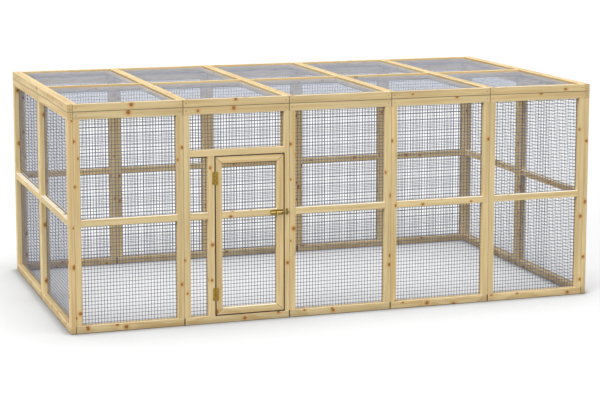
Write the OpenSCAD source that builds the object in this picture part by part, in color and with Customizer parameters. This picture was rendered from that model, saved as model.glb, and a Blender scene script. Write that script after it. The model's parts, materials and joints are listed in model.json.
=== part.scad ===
// Walk-in outdoor aviary made of timber panels that stand edge to edge.
// Five panels stand along the front and five along the back, and two panels make up each end.
// Five mesh panels lie on top as the roof. The second front panel holds a hinged door
// with a sliding bolt. X runs along the front, Y from front to back and Z up, in millimetres.
// Each panel is a frame of planed softwood. Welded mesh of round wires lies on its inner
// face, upright wires outside and crosswise wires inside, and inner battens trap its edges.

/* [Overall] */
// Width of one front or back panel
panel_w = 915; // [840:5:1000]
// Depth of the aviary from front face to back face
depth = 2620; // [2200:10:2900]
// Height of the wall panels
wall_h = 1830; // [1700:10:2050]

/* [Timber] */
// Thickness of the panel frame timbers
frame_t = 42; // [36:1:50]
// Face width of the upright stiles
stile_w = 54; // [46:1:64]
// Face width of the stiles that stand at the corners of the end walls
corner_stile_w = 76; // [72:1:100]
// Face height of the top and bottom rails
rail_h = 64; // [50:1:80]
// Face height of the middle rails
mid_rail_h = 54; // [40:1:70]
// Thickness of the battens that hold the mesh inside the walls
batten_t = 20; // [14:1:26]
// Chamfer along the edges of each planed timber
ease = 1.5; // [0.5:0.25:3]

/* [Roof] */
// Height of the roof frame timbers
roof_h = 62; // [50:1:80]
// Width of each roof rafter
rafter_w = 40; // [32:1:50]
// Depth of the roof mesh below the top of its frame
mesh_drop = 16; // [10:1:24]
// Width of the crossbar in the middle of each roof panel
crossbar_w = 44; // [30:1:60]
// Width of the battens that carry the roof mesh
ledger_w = 20; // [14:1:30]
// Height of the battens that carry the roof mesh
ledger_h = 24; // [16:1:28]

/* [Mesh] */
// Spacing of the real mesh wires
mesh_pitch = 25.4; // [22:0.1:50]
// Wires left out to keep the model light: one is drawn in this many
wire_step = 4; // [3:1:12]
// Diameter of the mesh wires
wire_d = 2.5; // [1.5:0.25:3.5]
// Width of mesh trapped between frame and batten along each edge
mesh_lap = 20; // [12:1:26]

/* [Door] */
// Distance from the door panel's left edge to its door jamb
jamb_x = 208; // [150:1:260]
// Face width of the door jamb
jamb_w = 58; // [50:1:70]
// Face width of the stile that the door bolts to
lock_stile_w = 44; // [40:1:60]
// Height of the door
door_h = 1338; // [1200:1:1420]
// Gap all round the door
door_gap = 6; // [5:0.5:9]
// Face width of the mitred door timbers
door_timber_w = 56; // [50:1:70]
// Face height of the header above the door
header_h = 54; // [44:1:70]
// Thickness of the battens that hold the mesh inside the door
door_batten_t = 12; // [8:1:16]
// Width of door edge that the stops cover
stop_lap = 12; // [8:1:14]

/* [Hinges] */
// Height of each butt hinge
hinge_h = 110; // [90:1:140]
// Distance from the door's top or bottom edge to the middle of the nearest hinge
hinge_inset = 178; // [120:1:240]
// Width of one hinge leaf, from the pin's axis to its outer edge
leaf_w = 26; // [22:1:34]
// Thickness of the hinge leaves, of the bolt's plate and of the keeper's plate
plate_t = 2.5; // [2:0.25:3.5]
// Radius of the hinge knuckles
knuckle_r = 5; // [4.5:0.25:6.5]
// Radius of the hinge pins
pin_r = 2.5; // [2:0.25:3]

/* [Bolt] */
// Length of the bolt's plate
bolt_plate_l = 116; // [110:1:124]
// Height of the bolt's plate
bolt_plate_h = 42; // [40:1:52]
// Distance from the door's edge to the bolt's plate
bolt_edge = 7; // [5:1:10]
// Radius of the sliding rod
rod_r = 6; // [5:0.25:6.5]
// Travel of the sliding rod
rod_travel = 34; // [30:1:36]
// Length of the sliding rod
rod_l = 118; // [112:1:120]
// Width of the keeper along the rod
keeper_w = 20; // [14:1:22]
// Height of the keeper's plate
keeper_h = 50; // [48:1:64]

/* [Screws] */
// Radius of the countersunk screw heads
screw_head_r = 4; // [3.5:0.25:4.5]
// Radius of the screw shanks
screw_r = 2; // [1.5:0.25:2.25]
// Length of the screws
screw_l = 24; // [18:1:32]

/* [Hidden] */
$fn = 48;

// Finishes
pine = "#d9c493";
pine_pale = "#e6d3a5";
galvanised = "#b9bcc4";
brass = "#a5893f";

// Clearances
joint = 0.3;          // between two timbers that meet
panel_seam = 0.3;     // from a stile to the edge of its panel
rail_seam = 1.2;      // from a rail's end to the edge of its panel
mesh_play = 1;        // between the roof mesh and the timbers round it
wire_gap = 0.05;      // between a wire and the wires or timbers beside it
mitre = 0.2;          // along a mitred corner, on each member
pin_fit = 0.06;       // round a hinge pin
knuckle_gap = 0.4;    // between neighbouring knuckles
rod_fit = 0.35;       // round the sliding rod in its guides
keeper_fit = 1;       // round the sliding rod in the keeper
screw_fit = 0.1;      // round a screw
batten_clear = 6;     // between the door's battens and the stops
cut = 1;              // past a face, so that a cut goes through

// Overall sizes
panel_count = 5;
door_panel = 2;
width = panel_count * panel_w + 2 * frame_t;
height = wall_h + roof_h;
side_l = depth / 2;
mid_z = wall_h / 2;
drawn_pitch = mesh_pitch * wire_step;
net_t = 2 * wire_d + 3 * wire_gap;
layer_y = frame_t + net_t;

// Door and its frame, measured from the door panel's left edge and from the ground
jamb_end = jamb_x + jamb_w;
door_x = jamb_end + door_gap;
door_w = panel_w - lock_stile_w - door_gap - door_x;
door_z = rail_h + door_gap;
header_z = door_z + door_h + door_gap;
door_batten_in = stop_lap + batten_clear;
mid_rail_x = door_timber_w + joint;

// Hinges
hinge_x = jamb_end + door_gap / 2;
hinge_y = -knuckle_r;
hinge_zs = [door_z + hinge_inset, door_z + door_h - hinge_inset];
knuckle_count = 5;
knuckle_l = hinge_h / knuckle_count;
leaf_corner = 6;
pin_head_h = 1.6;
pin_head_lip = 0.8;
pin_head_r = knuckle_r - pin_head_lip;
hinge_screw_x = (leaf_w + knuckle_r) / 2;
hinge_screw_share = 0.36;
hinge_screw_rise = hinge_h * hinge_screw_share;

// Bolt, with its rod drawn back
rod_gap = 1.5;
bolt_y = -(plate_t + rod_gap + rod_r);
bolt_end_x = door_x + door_w - bolt_edge;
bolt_start_x = bolt_end_x - bolt_plate_l;
rod_inset = 3;
rod_end_x = door_x + door_w - rod_inset;
guide_w = 10;
guide_wall = 3;
strap_t = 2.5;
guide_r = rod_r + rod_fit + guide_wall;
keeper_r = rod_r + keeper_fit + strap_t;
guide_inset = 2;
outer_guide_x = bolt_end_x - guide_inset - guide_w;
knob_r = 5;
knob_stem_r = 3;
knob_reach = 16;
knob_tilt = 20;
knob_clear = 1;
knob_x = outer_guide_x - knob_r - knob_clear - rod_travel;
inner_guide_x = knob_x - knob_r - knob_clear - guide_w;
rod_tip = 2;
screw_edge = 3;
inner_screw_in = 20;
outer_screw_in = 28;
plate_screw_z = bolt_plate_h / 2 - screw_head_r - screw_edge;
plate_screw_xs = [bolt_start_x + inner_screw_in, bolt_end_x - outer_screw_in];

// Keeper on the lock stile
keeper_inset = 11;
keeper_x = panel_w - lock_stile_w + keeper_inset;
keeper_screw_z = (keeper_h / 2 + keeper_r) / 2;
strap_ease = 2;
screw_sink = 0.2;

// Place of the whole aviary, centred on its own box
knob_proud = -bolt_y + knob_reach * sin(knob_tilt) + knob_r;
proud = max(knob_proud, -bolt_y + keeper_r, 2 * knuckle_r);
front_y = (proud - depth) / 2;
back_y = front_y + depth;

// Planed timber, its length along the named axis and its edges chamfered

module eased(a, b) {
    polygon([
        [ease, 0], [a - ease, 0], [a, ease], [a, b - ease],
        [a - ease, b], [ease, b], [0, b - ease], [0, ease]
    ]);
}

module board(low, size, grain) {
    translate(low) {
        if (grain == "x") rotate([90, 0, 90]) linear_extrude(size.x) eased(size.y, size.z);
        if (grain == "y") translate([0, size.y, 0]) rotate([90, 0, 0])
            linear_extrude(size.y) eased(size.x, size.z);
        if (grain == "z") linear_extrude(size.z) eased(size.x, size.y);
    }
}

// Flat welded net lying on z = 0, as near to the wire spacing as the sheet allows.
// The wires along y lie under the wires along x.
module net(w, h) {
    nx = max(1, round(w / drawn_pitch));
    ny = max(1, round(h / drawn_pitch));
    low = wire_gap + wire_d / 2;
    high = low + wire_d + wire_gap;
    for (i = [0 : nx])
        translate([wire_d / 2 + i * (w - wire_d) / nx, 0, low])
            rotate([-90, 0, 0]) cylinder(h = h, d = wire_d);
    for (j = [0 : ny])
        translate([0, wire_d / 2 + j * (h - wire_d) / ny, high])
            rotate([0, 90, 0]) cylinder(h = w, d = wire_d);
}

// Net standing in a wall, its low corner at x, z, the upright wires against the frame
module wall_net(x, z, w, h) {
    translate([x, frame_t, z]) mirror([0, 1, -1]) net(w, h);
}

// Walls. Each is drawn with x along the wall, y inwards from its outer face and z up.

module front_wall() {
    translate([-width / 2, front_y, 0]) children();
}

module back_wall() {
    translate([-width / 2, back_y, 0]) mirror([0, 1, 0]) children();
}

module left_wall() {
    translate([-width / 2, front_y, 0]) mirror([1, -1, 0]) children();
}

module right_wall() {
    translate([width / 2, front_y, 0]) mirror([1, 0, 0]) mirror([1, -1, 0]) children();
}

// Place of a front or back panel along its wall, counted from 1 at the left
module bay(k) {
    translate([frame_t + (k - 1) * panel_w, 0, 0]) children();
}

// Back half of an end wall, drawn from the back corner
module back_half() {
    translate([depth, 0, 0]) mirror([1, 0, 0]) children();
}

module rails(len, y, t, from = 0, to = 0) {
    for (z = [0, wall_h - rail_h])
        board([from + rail_seam, y, z], [len - from - to - 2 * rail_seam, t, rail_h], "x");
}

module upright(x, w, y, t, low = rail_h, top = wall_h - rail_h) {
    board([x, y, low + joint], [w, t, top - low - 2 * joint], "z");
}

module crosspiece(x, w, y, t, z, h) {
    board([x + joint, y, z], [w - 2 * joint, t, h], "x");
}

// Outer frame of a plain panel
module panel_frame(len, first_w, last_w) {
    rails(len, 0, frame_t);
    upright(panel_seam, first_w - panel_seam, 0, frame_t);
    upright(len - last_w, last_w - panel_seam, 0, frame_t);
    crosspiece(first_w, len - first_w - last_w, 0, frame_t, mid_z - mid_rail_h / 2, mid_rail_h);
}

// Battens of a plain panel. They start and end short of its edges by the trims.
module panel_battens(len, first_w, last_w, first_trim = 0, last_trim = 0) {
    rails(len, layer_y, batten_t, first_trim, last_trim);
    upright(first_trim + panel_seam, first_w - first_trim - panel_seam, layer_y, batten_t);
    upright(len - last_w, last_w - last_trim - panel_seam, layer_y, batten_t);
    crosspiece(first_w, len - first_w - last_w, layer_y, batten_t,
        mid_z - mid_rail_h / 2, mid_rail_h);
}

module panel_net(len, first_w, last_w) {
    wall_net(first_w - mesh_lap, rail_h - mesh_lap,
        len - first_w - last_w + 2 * mesh_lap, wall_h - 2 * rail_h + 2 * mesh_lap);
}

module plain_frame() {
    color(pine) panel_frame(panel_w, stile_w, stile_w);
}

module plain_net() {
    color(galvanised) panel_net(panel_w, stile_w, stile_w);
}

module end_frame() {
    color(pine) panel_frame(side_l, corner_stile_w, stile_w);
}

module end_net() {
    color(galvanised) panel_net(side_l, corner_stile_w, stile_w);
}

module end_battens() {
    color(pine_pale) panel_battens(side_l, corner_stile_w, stile_w, layer_y + joint);
}

// Battens of a front or back wall's plain panel, trimmed where an end wall's battens meet it
module bay_battens(k) {
    corner = net_t + batten_t + joint;
    color(pine_pale) panel_battens(panel_w, stile_w, stile_w,
        k == 1 ? corner : 0, k == panel_count ? corner : 0);
}

// Door panel: header, jamb and the narrow mesh strip beside the door

module door_panel_frame() {
    color(pine) difference() {
        union() {
            rails(panel_w, 0, frame_t);
            upright(panel_seam, stile_w - panel_seam, 0, frame_t);
            upright(panel_w - lock_stile_w, lock_stile_w - panel_seam, 0, frame_t);
            crosspiece(stile_w, panel_w - stile_w - lock_stile_w, 0, frame_t,
                header_z, header_h);
            upright(jamb_x, jamb_w, 0, frame_t, rail_h, header_z);
            crosspiece(stile_w, jamb_x - stile_w, 0, frame_t,
                mid_z - mid_rail_h / 2, mid_rail_h);
        }
        frame_screw_places() pilot_hole();
    }
}

module door_panel_battens() {
    stop = door_gap + stop_lap;
    color(pine_pale) {
        rails(panel_w, layer_y, batten_t);
        upright(panel_seam, stile_w - panel_seam, layer_y, batten_t);
        upright(panel_w - lock_stile_w - stop, lock_stile_w + stop - panel_seam,
            layer_y, batten_t);
        crosspiece(stile_w, panel_w - stile_w - lock_stile_w - stop, layer_y, batten_t,
            header_z - stop, header_h + stop);
        upright(jamb_x, jamb_w + stop, layer_y, batten_t, rail_h, header_z - stop);
        crosspiece(stile_w, jamb_x - stile_w, layer_y, batten_t,
            mid_z - mid_rail_h / 2, mid_rail_h);
    }
}

module door_panel_net() {
    header_top = header_z + header_h;
    color(galvanised) {
        wall_net(stile_w - mesh_lap, header_top - mesh_lap,
            panel_w - stile_w - lock_stile_w + 2 * mesh_lap,
            wall_h - rail_h - header_top + 2 * mesh_lap);
        wall_net(stile_w - mesh_lap, rail_h - mesh_lap,
            jamb_x - stile_w + 2 * mesh_lap, header_z - rail_h + 2 * mesh_lap);
    }
}

// Door, drawn in the door panel's own place

module in_door() {
    front_wall() bay(door_panel) translate([door_x, 0, door_z]) children();
}

module mitred_upright(x) {
    f = door_timber_w;
    intersection() {
        board([x, 0, 0], [f, frame_t, door_h], "z");
        translate([x == 0 ? 0 : door_w, frame_t, 0]) mirror([x == 0 ? 0 : 1, 0, 0])
            rotate([90, 0, 0]) linear_extrude(frame_t)
            polygon([[0, mitre], [f, f + mitre], [f, door_h - f - mitre], [0, door_h - mitre]]);
    }
}

module mitred_rail(z) {
    f = door_timber_w;
    intersection() {
        board([0, 0, z], [door_w, frame_t, f], "x");
        translate([0, frame_t, z == 0 ? 0 : door_h]) mirror([0, 0, z == 0 ? 0 : 1])
            rotate([90, 0, 0]) linear_extrude(frame_t)
            polygon([[mitre, 0], [door_w - mitre, 0], [door_w - f - mitre, f], [f + mitre, f]]);
    }
}

module door_hinge_stile() {
    color(pine) difference() {
        in_door() mitred_upright(0);
        front_wall() bay(door_panel) door_screw_places() pilot_hole();
    }
}

module door_lock_stile() {
    color(pine) difference() {
        in_door() mitred_upright(door_w - door_timber_w);
        front_wall() bay(door_panel) door_screw_places() pilot_hole();
    }
}

module door_top_rail() {
    color(pine) in_door() mitred_rail(door_h - door_timber_w);
}

module door_bottom_rail() {
    color(pine) in_door() mitred_rail(0);
}

module door_mid_rail() {
    color(pine) difference() {
        in_door() board([mid_rail_x, 0, mid_z - door_z - mid_rail_h / 2],
            [door_w - 2 * mid_rail_x, frame_t, mid_rail_h], "x");
        front_wall() bay(door_panel) door_screw_places() pilot_hole();
    }
}

module door_mesh() {
    inner = door_timber_w - mesh_lap;
    color(galvanised) in_door()
        wall_net(inner, inner, door_w - 2 * inner, door_h - 2 * inner);
}

module door_battens() {
    edge = door_batten_in;
    batten_w = door_timber_w - edge;
    inner_h = door_h - 2 * door_timber_w;
    color(pine_pale) in_door() {
        for (z = [edge, door_h - door_timber_w])
            board([edge, layer_y, z], [door_w - 2 * edge, door_batten_t, batten_w], "x");
        for (x = [edge, door_w - door_timber_w])
            board([x, layer_y, door_timber_w + joint],
                [batten_w, door_batten_t, inner_h - 2 * joint], "z");
        board([mid_rail_x, layer_y, mid_z - door_z - mid_rail_h / 2],
            [door_w - 2 * mid_rail_x, door_batten_t, mid_rail_h], "x");
    }
}

// Butt hinges. Odd knuckles belong to the frame's leaf and even ones to the door's.

// The end knuckles reach the ends of the hinge, where the pin's heads bear on them.
module knuckles(parity, r, extra = 0) {
    last = knuckle_count - 1;
    for (i = [0 : last]) if (i % 2 == parity) {
        low = i == 0 ? 0 : i * knuckle_l + knuckle_gap / 2;
        high = i == last ? hinge_h : (i + 1) * knuckle_l - knuckle_gap / 2;
        translate([0, 0, low - extra]) cylinder(h = high - low + 2 * extra, r = r);
    }
}

// One leaf with the pin's axis on the z axis, reaching towards plus x
module hinge_leaf(parity) {
    difference() {
        union() {
            translate([0, knuckle_r, 0]) rotate([90, 0, 0]) linear_extrude(plate_t)
                polygon([
                    [0, 0], [leaf_w - leaf_corner, 0], [leaf_w, leaf_corner],
                    [leaf_w, hinge_h - leaf_corner], [leaf_w - leaf_corner, hinge_h],
                    [0, hinge_h]
                ]);
            knuckles(parity, knuckle_r);
        }
        knuckles(1 - parity, knuckle_r + knuckle_gap, knuckle_gap);
        translate([0, 0, -cut]) cylinder(h = hinge_h + 2 * cut, r = pin_r + pin_fit);
        hinge_screws_at() countersink();
    }
}

module hinge_screws_at() {
    for (rise = [-hinge_screw_rise, 0, hinge_screw_rise])
        translate([hinge_screw_x, knuckle_r - plate_t, hinge_h / 2 + rise]) children();
}

module at_hinges() {
    front_wall() bay(door_panel)
        for (z = hinge_zs) translate([hinge_x, hinge_y, z - hinge_h / 2]) children();
}

module hinge_frame_leaves() {
    color(brass) at_hinges() mirror([1, 0, 0]) hinge_leaf(0);
}

module hinge_door_leaves() {
    color(brass) at_hinges() hinge_leaf(1);
}

module hinge_pins() {
    color(brass) at_hinges() {
        cylinder(h = hinge_h, r = pin_r);
        for (z = [-pin_head_h, hinge_h])
            translate([0, 0, z]) cylinder(h = pin_head_h, r = pin_head_r);
    }
}

// Screws. The head's face is at y = 0 and the shank runs towards plus y.

module screw() {
    head_h = screw_head_r - screw_r;
    translate([0, screw_sink, 0]) rotate([-90, 0, 0]) {
        cylinder(h = head_h, r1 = screw_head_r, r2 = screw_r);
        cylinder(h = screw_l, r = screw_r);
    }
}

module countersink() {
    head_h = screw_head_r - screw_r;
    translate([0, screw_sink, 0]) rotate([-90, 0, 0]) {
        translate([0, 0, -screw_sink - cut])
            cylinder(h = screw_sink + cut, r = screw_head_r + screw_fit);
        cylinder(h = head_h, r1 = screw_head_r + screw_fit, r2 = screw_r + screw_fit);
        cylinder(h = screw_l, r = screw_r + screw_fit);
    }
}

module pilot_hole() {
    translate([0, -cut, 0]) rotate([-90, 0, 0])
        cylinder(h = screw_l + screw_sink + cut, r = screw_r + screw_fit);
}

module frame_screw_places() {
    for (z = hinge_zs) translate([hinge_x, hinge_y, z - hinge_h / 2])
        mirror([1, 0, 0]) hinge_screws_at() children();
    for (side = [-1, 1])
        translate([keeper_x + keeper_w / 2, -plate_t, mid_z + side * keeper_screw_z]) children();
}

module door_screw_places() {
    for (z = hinge_zs) translate([hinge_x, hinge_y, z - hinge_h / 2])
        hinge_screws_at() children();
    bolt_screws_at() children();
}

module bolt_screws_at() {
    for (x = plate_screw_xs, side = [-1, 1])
        translate([x, -plate_t, mid_z + side * plate_screw_z]) children();
}

module frame_hardware_screws() {
    color(brass) front_wall() bay(door_panel) frame_screw_places() screw();
}

module door_hardware_screws() {
    color(brass) front_wall() bay(door_panel) door_screw_places() screw();
}

// Sliding bolt on the door

// Saddle round the rod, from the plate's face outwards, centred on the rod's axis
module saddle(x, w, r) {
    translate([x, bolt_y, mid_z]) rotate([0, 90, 0]) cylinder(h = w, r = r);
    translate([x, bolt_y, mid_z - r]) cube([w, -bolt_y - plate_t / 2, 2 * r]);
}

module rod_bore(x, w, fit) {
    translate([x - cut, bolt_y, mid_z]) rotate([0, 90, 0])
        cylinder(h = w + 2 * cut, r = rod_r + fit);
}

module bolt_plate() {
    end_r = bolt_plate_h / 2;
    color(brass) front_wall() bay(door_panel) difference() {
        union() {
            translate([bolt_start_x + end_r, 0, mid_z]) rotate([90, 0, 0])
                linear_extrude(plate_t) union() {
                    circle(r = end_r, $fn = 2 * $fn);
                    translate([0, -end_r]) square([bolt_plate_l - end_r, bolt_plate_h]);
                }
            saddle(inner_guide_x, guide_w, guide_r);
            saddle(outer_guide_x, guide_w, guide_r);
        }
        rod_bore(inner_guide_x, guide_w, rod_fit);
        rod_bore(outer_guide_x, guide_w, rod_fit);
        bolt_screws_at() countersink();
    }
}

module bolt_rod() {
    color(brass) front_wall() bay(door_panel) {
        translate([rod_end_x - rod_l, bolt_y, mid_z]) rotate([0, 90, 0]) {
            cylinder(h = rod_tip, r1 = rod_r - rod_tip, r2 = rod_r);
            translate([0, 0, rod_tip]) cylinder(h = rod_l - 2 * rod_tip, r = rod_r);
            translate([0, 0, rod_l - rod_tip])
                cylinder(h = rod_tip, r1 = rod_r, r2 = rod_r - rod_tip);
        }
        translate([knob_x, bolt_y, mid_z]) rotate([-knob_tilt, 0, 0]) {
            translate([0, 0, -knob_reach]) cylinder(h = knob_reach, r = knob_stem_r);
            translate([0, 0, -knob_reach]) sphere(r = knob_r);
        }
    }
}

// Bent strap: a square arch over the rod and two flat feet on the stile
module bolt_keeper() {
    inner = rod_r + keeper_fit;
    front = bolt_y - keeper_r;
    color(brass) front_wall() bay(door_panel) difference() {
        translate([keeper_x, 0, mid_z]) rotate([90, 0, 90]) linear_extrude(keeper_w)
            difference() {
                polygon([
                    [0, -keeper_h / 2], [-plate_t, -keeper_h / 2],
                    [-plate_t, -keeper_r], [front + strap_ease, -keeper_r],
                    [front, strap_ease - keeper_r], [front, keeper_r - strap_ease],
                    [front + strap_ease, keeper_r], [-plate_t, keeper_r],
                    [-plate_t, keeper_h / 2], [0, keeper_h / 2]
                ]);
                translate([bolt_y - inner, -inner]) square([inner - bolt_y + cut, 2 * inner]);
            }
        frame_screw_places() countersink();
    }
}

// Roof. Each panel rests on the walls and lies between the roof rails of the two ends.

roof_net_z = wall_h + roof_h - mesh_drop - net_t;
half_l = (depth - crossbar_w) / 2 - frame_t;

module roof_bay(k) {
    front_wall() bay(k) children();
}

// What lies before the crossbar, and its mirror image behind it
module both_halves() {
    children();
    translate([0, depth, 0]) mirror([0, 1, 0]) children();
}

module roof_panel_frame(k) {
    rafter_l = depth - 2 * frame_t - 2 * joint;
    color(pine) roof_bay(k) {
        for (y = [0, depth - frame_t])
            board([rail_seam, y, wall_h], [panel_w - 2 * rail_seam, frame_t, roof_h], "x");
        for (x = [panel_seam, panel_w - rafter_w])
            board([x, frame_t + joint, wall_h],
                [rafter_w - panel_seam, rafter_l, roof_h], "y");
    }
}

module roof_panel_mesh(k) {
    edge = rafter_w + mesh_play;
    color(galvanised) roof_bay(k) both_halves()
        translate([edge, frame_t + mesh_play, roof_net_z])
        net(panel_w - 2 * edge, half_l - 2 * mesh_play);
}

// Crossbar of one roof panel, and the battens under its two nets
module mesh_supports() {
    inner_w = panel_w - 2 * rafter_w;
    low = roof_net_z - ledger_h;
    board([rafter_w + joint, frame_t + half_l, wall_h],
        [inner_w - 2 * joint, crossbar_w, roof_h], "x");
    both_halves() {
        for (x = [rafter_w, panel_w - rafter_w - ledger_w])
            board([x, frame_t + joint, low], [ledger_w, half_l - 2 * joint, ledger_h], "y");
        for (y = [frame_t, frame_t + half_l - ledger_w - joint])
            board([rafter_w + ledger_w + joint, y, low],
                [inner_w - 2 * ledger_w - 2 * joint, ledger_w, ledger_h], "x");
    }
}

module roof_mesh_supports() {
    color(pine_pale) for (k = [1 : panel_count]) roof_bay(k) mesh_supports();
}

// Two lengths of rail along the top of an end wall
module end_roof_rails() {
    for (y = [0, side_l])
        board([0, y + rail_seam / 2, wall_h], [frame_t, side_l - rail_seam, roof_h], "y");
}

module left_roof_rails() {
    color(pine) front_wall() end_roof_rails();
}

module right_roof_rails() {
    color(pine) front_wall() translate([width - frame_t, 0, 0]) end_roof_rails();
}

// Battens, one group for each wall

module front_wall_battens() {
    front_wall() {
        for (k = [1 : panel_count]) if (k != door_panel) bay(k) bay_battens(k);
        bay(door_panel) door_panel_battens();
    }
}

module back_wall_battens() {
    back_wall() for (k = [1 : panel_count]) bay(k) bay_battens(k);
}

module left_wall_battens() {
    left_wall() {
        end_battens();
        back_half() end_battens();
    }
}

module right_wall_battens() {
    right_wall() {
        end_battens();
        back_half() end_battens();
    }
}

// Panels in their places
for (k = [1 : panel_count]) {
    front_wall() bay(k) {
        if (k == door_panel) door_panel_frame();
        else plain_frame();
    }
    front_wall() bay(k) {
        if (k == door_panel) door_panel_net();
        else plain_net();
    }
    back_wall() bay(k) plain_frame();
    back_wall() bay(k) plain_net();
    roof_panel_frame(k);
    roof_panel_mesh(k);
}
left_wall() end_frame();  // left_front_panel_frame
left_wall() back_half() end_frame();  // left_back_panel_frame
right_wall() end_frame();  // right_front_panel_frame
right_wall() back_half() end_frame();  // right_back_panel_frame
left_wall() end_net();  // left_front_panel_mesh
left_wall() back_half() end_net();  // left_back_panel_mesh
right_wall() end_net();  // right_front_panel_mesh
right_wall() back_half() end_net();  // right_back_panel_mesh
front_wall_battens();
back_wall_battens();
left_wall_battens();
right_wall_battens();
left_roof_rails();
right_roof_rails();
roof_mesh_supports();
door_hinge_stile();
door_lock_stile();
door_top_rail();
door_mid_rail();
door_bottom_rail();
door_mesh();
door_battens();
hinge_frame_leaves();
hinge_door_leaves();
hinge_pins();
bolt_plate();
bolt_rod();
bolt_keeper();
frame_hardware_screws();
door_hardware_screws();
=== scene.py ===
"""Looks of the walk-in aviary: pine timbers, welded wire mesh, brass fittings, floor and light.

The timbers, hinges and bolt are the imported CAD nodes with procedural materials. The CAD nets
are replaced by nets that have every wire, and the CAD screws by screws with cross recesses.
Lengths are in metres.
"""
import json
import math

import bmesh
import bpy
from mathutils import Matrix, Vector

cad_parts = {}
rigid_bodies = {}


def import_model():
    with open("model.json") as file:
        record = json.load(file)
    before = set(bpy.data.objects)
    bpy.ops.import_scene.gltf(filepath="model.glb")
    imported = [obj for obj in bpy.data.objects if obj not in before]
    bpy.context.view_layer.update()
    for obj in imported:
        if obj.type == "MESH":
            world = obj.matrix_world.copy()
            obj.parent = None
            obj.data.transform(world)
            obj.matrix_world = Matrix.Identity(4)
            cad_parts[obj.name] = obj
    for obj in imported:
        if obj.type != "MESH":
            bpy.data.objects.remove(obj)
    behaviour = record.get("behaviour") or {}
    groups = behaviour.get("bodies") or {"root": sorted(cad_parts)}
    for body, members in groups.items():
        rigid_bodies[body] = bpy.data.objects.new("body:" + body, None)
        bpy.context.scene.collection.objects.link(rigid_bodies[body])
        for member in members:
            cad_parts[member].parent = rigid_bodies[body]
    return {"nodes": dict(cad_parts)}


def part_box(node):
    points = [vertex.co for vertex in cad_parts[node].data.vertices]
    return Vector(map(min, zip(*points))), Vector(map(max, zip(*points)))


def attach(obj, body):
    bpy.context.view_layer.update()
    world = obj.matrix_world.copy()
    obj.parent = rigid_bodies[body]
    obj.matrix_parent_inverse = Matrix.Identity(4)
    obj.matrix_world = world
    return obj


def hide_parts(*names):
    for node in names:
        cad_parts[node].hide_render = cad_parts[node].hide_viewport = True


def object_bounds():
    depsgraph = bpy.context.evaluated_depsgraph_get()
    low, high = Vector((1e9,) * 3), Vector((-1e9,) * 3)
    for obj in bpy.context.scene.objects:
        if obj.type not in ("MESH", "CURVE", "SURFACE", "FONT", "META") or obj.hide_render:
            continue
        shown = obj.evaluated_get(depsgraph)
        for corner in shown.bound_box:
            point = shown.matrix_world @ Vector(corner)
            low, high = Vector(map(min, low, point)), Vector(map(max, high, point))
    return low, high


for leftover in list(bpy.data.objects):
    bpy.data.objects.remove(leftover)
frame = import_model()
cad_low, cad_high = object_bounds()

X, Y, Z = 0, 1, 2

# Sizes that the frame gives
first_low, first_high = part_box("front_panel_1_frame")
second_low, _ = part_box("front_panel_2_frame")
panel_w = second_low.x - first_low.x
panel_gap = panel_w - (first_high.x - first_low.x)
wall_left = first_low.x - panel_gap / 2
wall_top = first_high.z
wall_mid = wall_top / 2
front_y = first_low.y
frame_t = first_high.y - first_low.y
back_y = cad_high.y
mid_y = (front_y + back_y) / 2
depth = back_y - front_y
door_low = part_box("door_hinge_stile")[0]
door_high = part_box("door_lock_stile")[1]
door_middle = (door_low + door_high) / 2
door_half = (door_high - door_low) / 2

# Sizes of the timbers in part.scad
stile_w = 0.054
corner_stile_w = 0.076
rail_h = 0.064
mid_rail_h = 0.054
rafter_w = 0.040
crossbar_w = 0.044
ledger_w = 0.020
mesh_lap = 0.020
mesh_play = 0.001
jamb_x = 0.208
jamb_w = 0.058
lock_stile_w = 0.044
header_low = 1.414
header_high = 1.468
stop_reach = 0.018
door_batten_w = 0.038
panel_count = 5
door_panel = 2


# Node trees


def linear(code):
    """Scene colour of a colour written as on a screen, such as D9C493."""
    parts = [int(code[i:i + 2], 16) / 255 for i in (0, 2, 4)]
    return tuple(((c + 0.055) / 1.055) ** 2.4 if c > 0.04045 else c / 12.92
                 for c in parts) + (1.0,)


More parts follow.
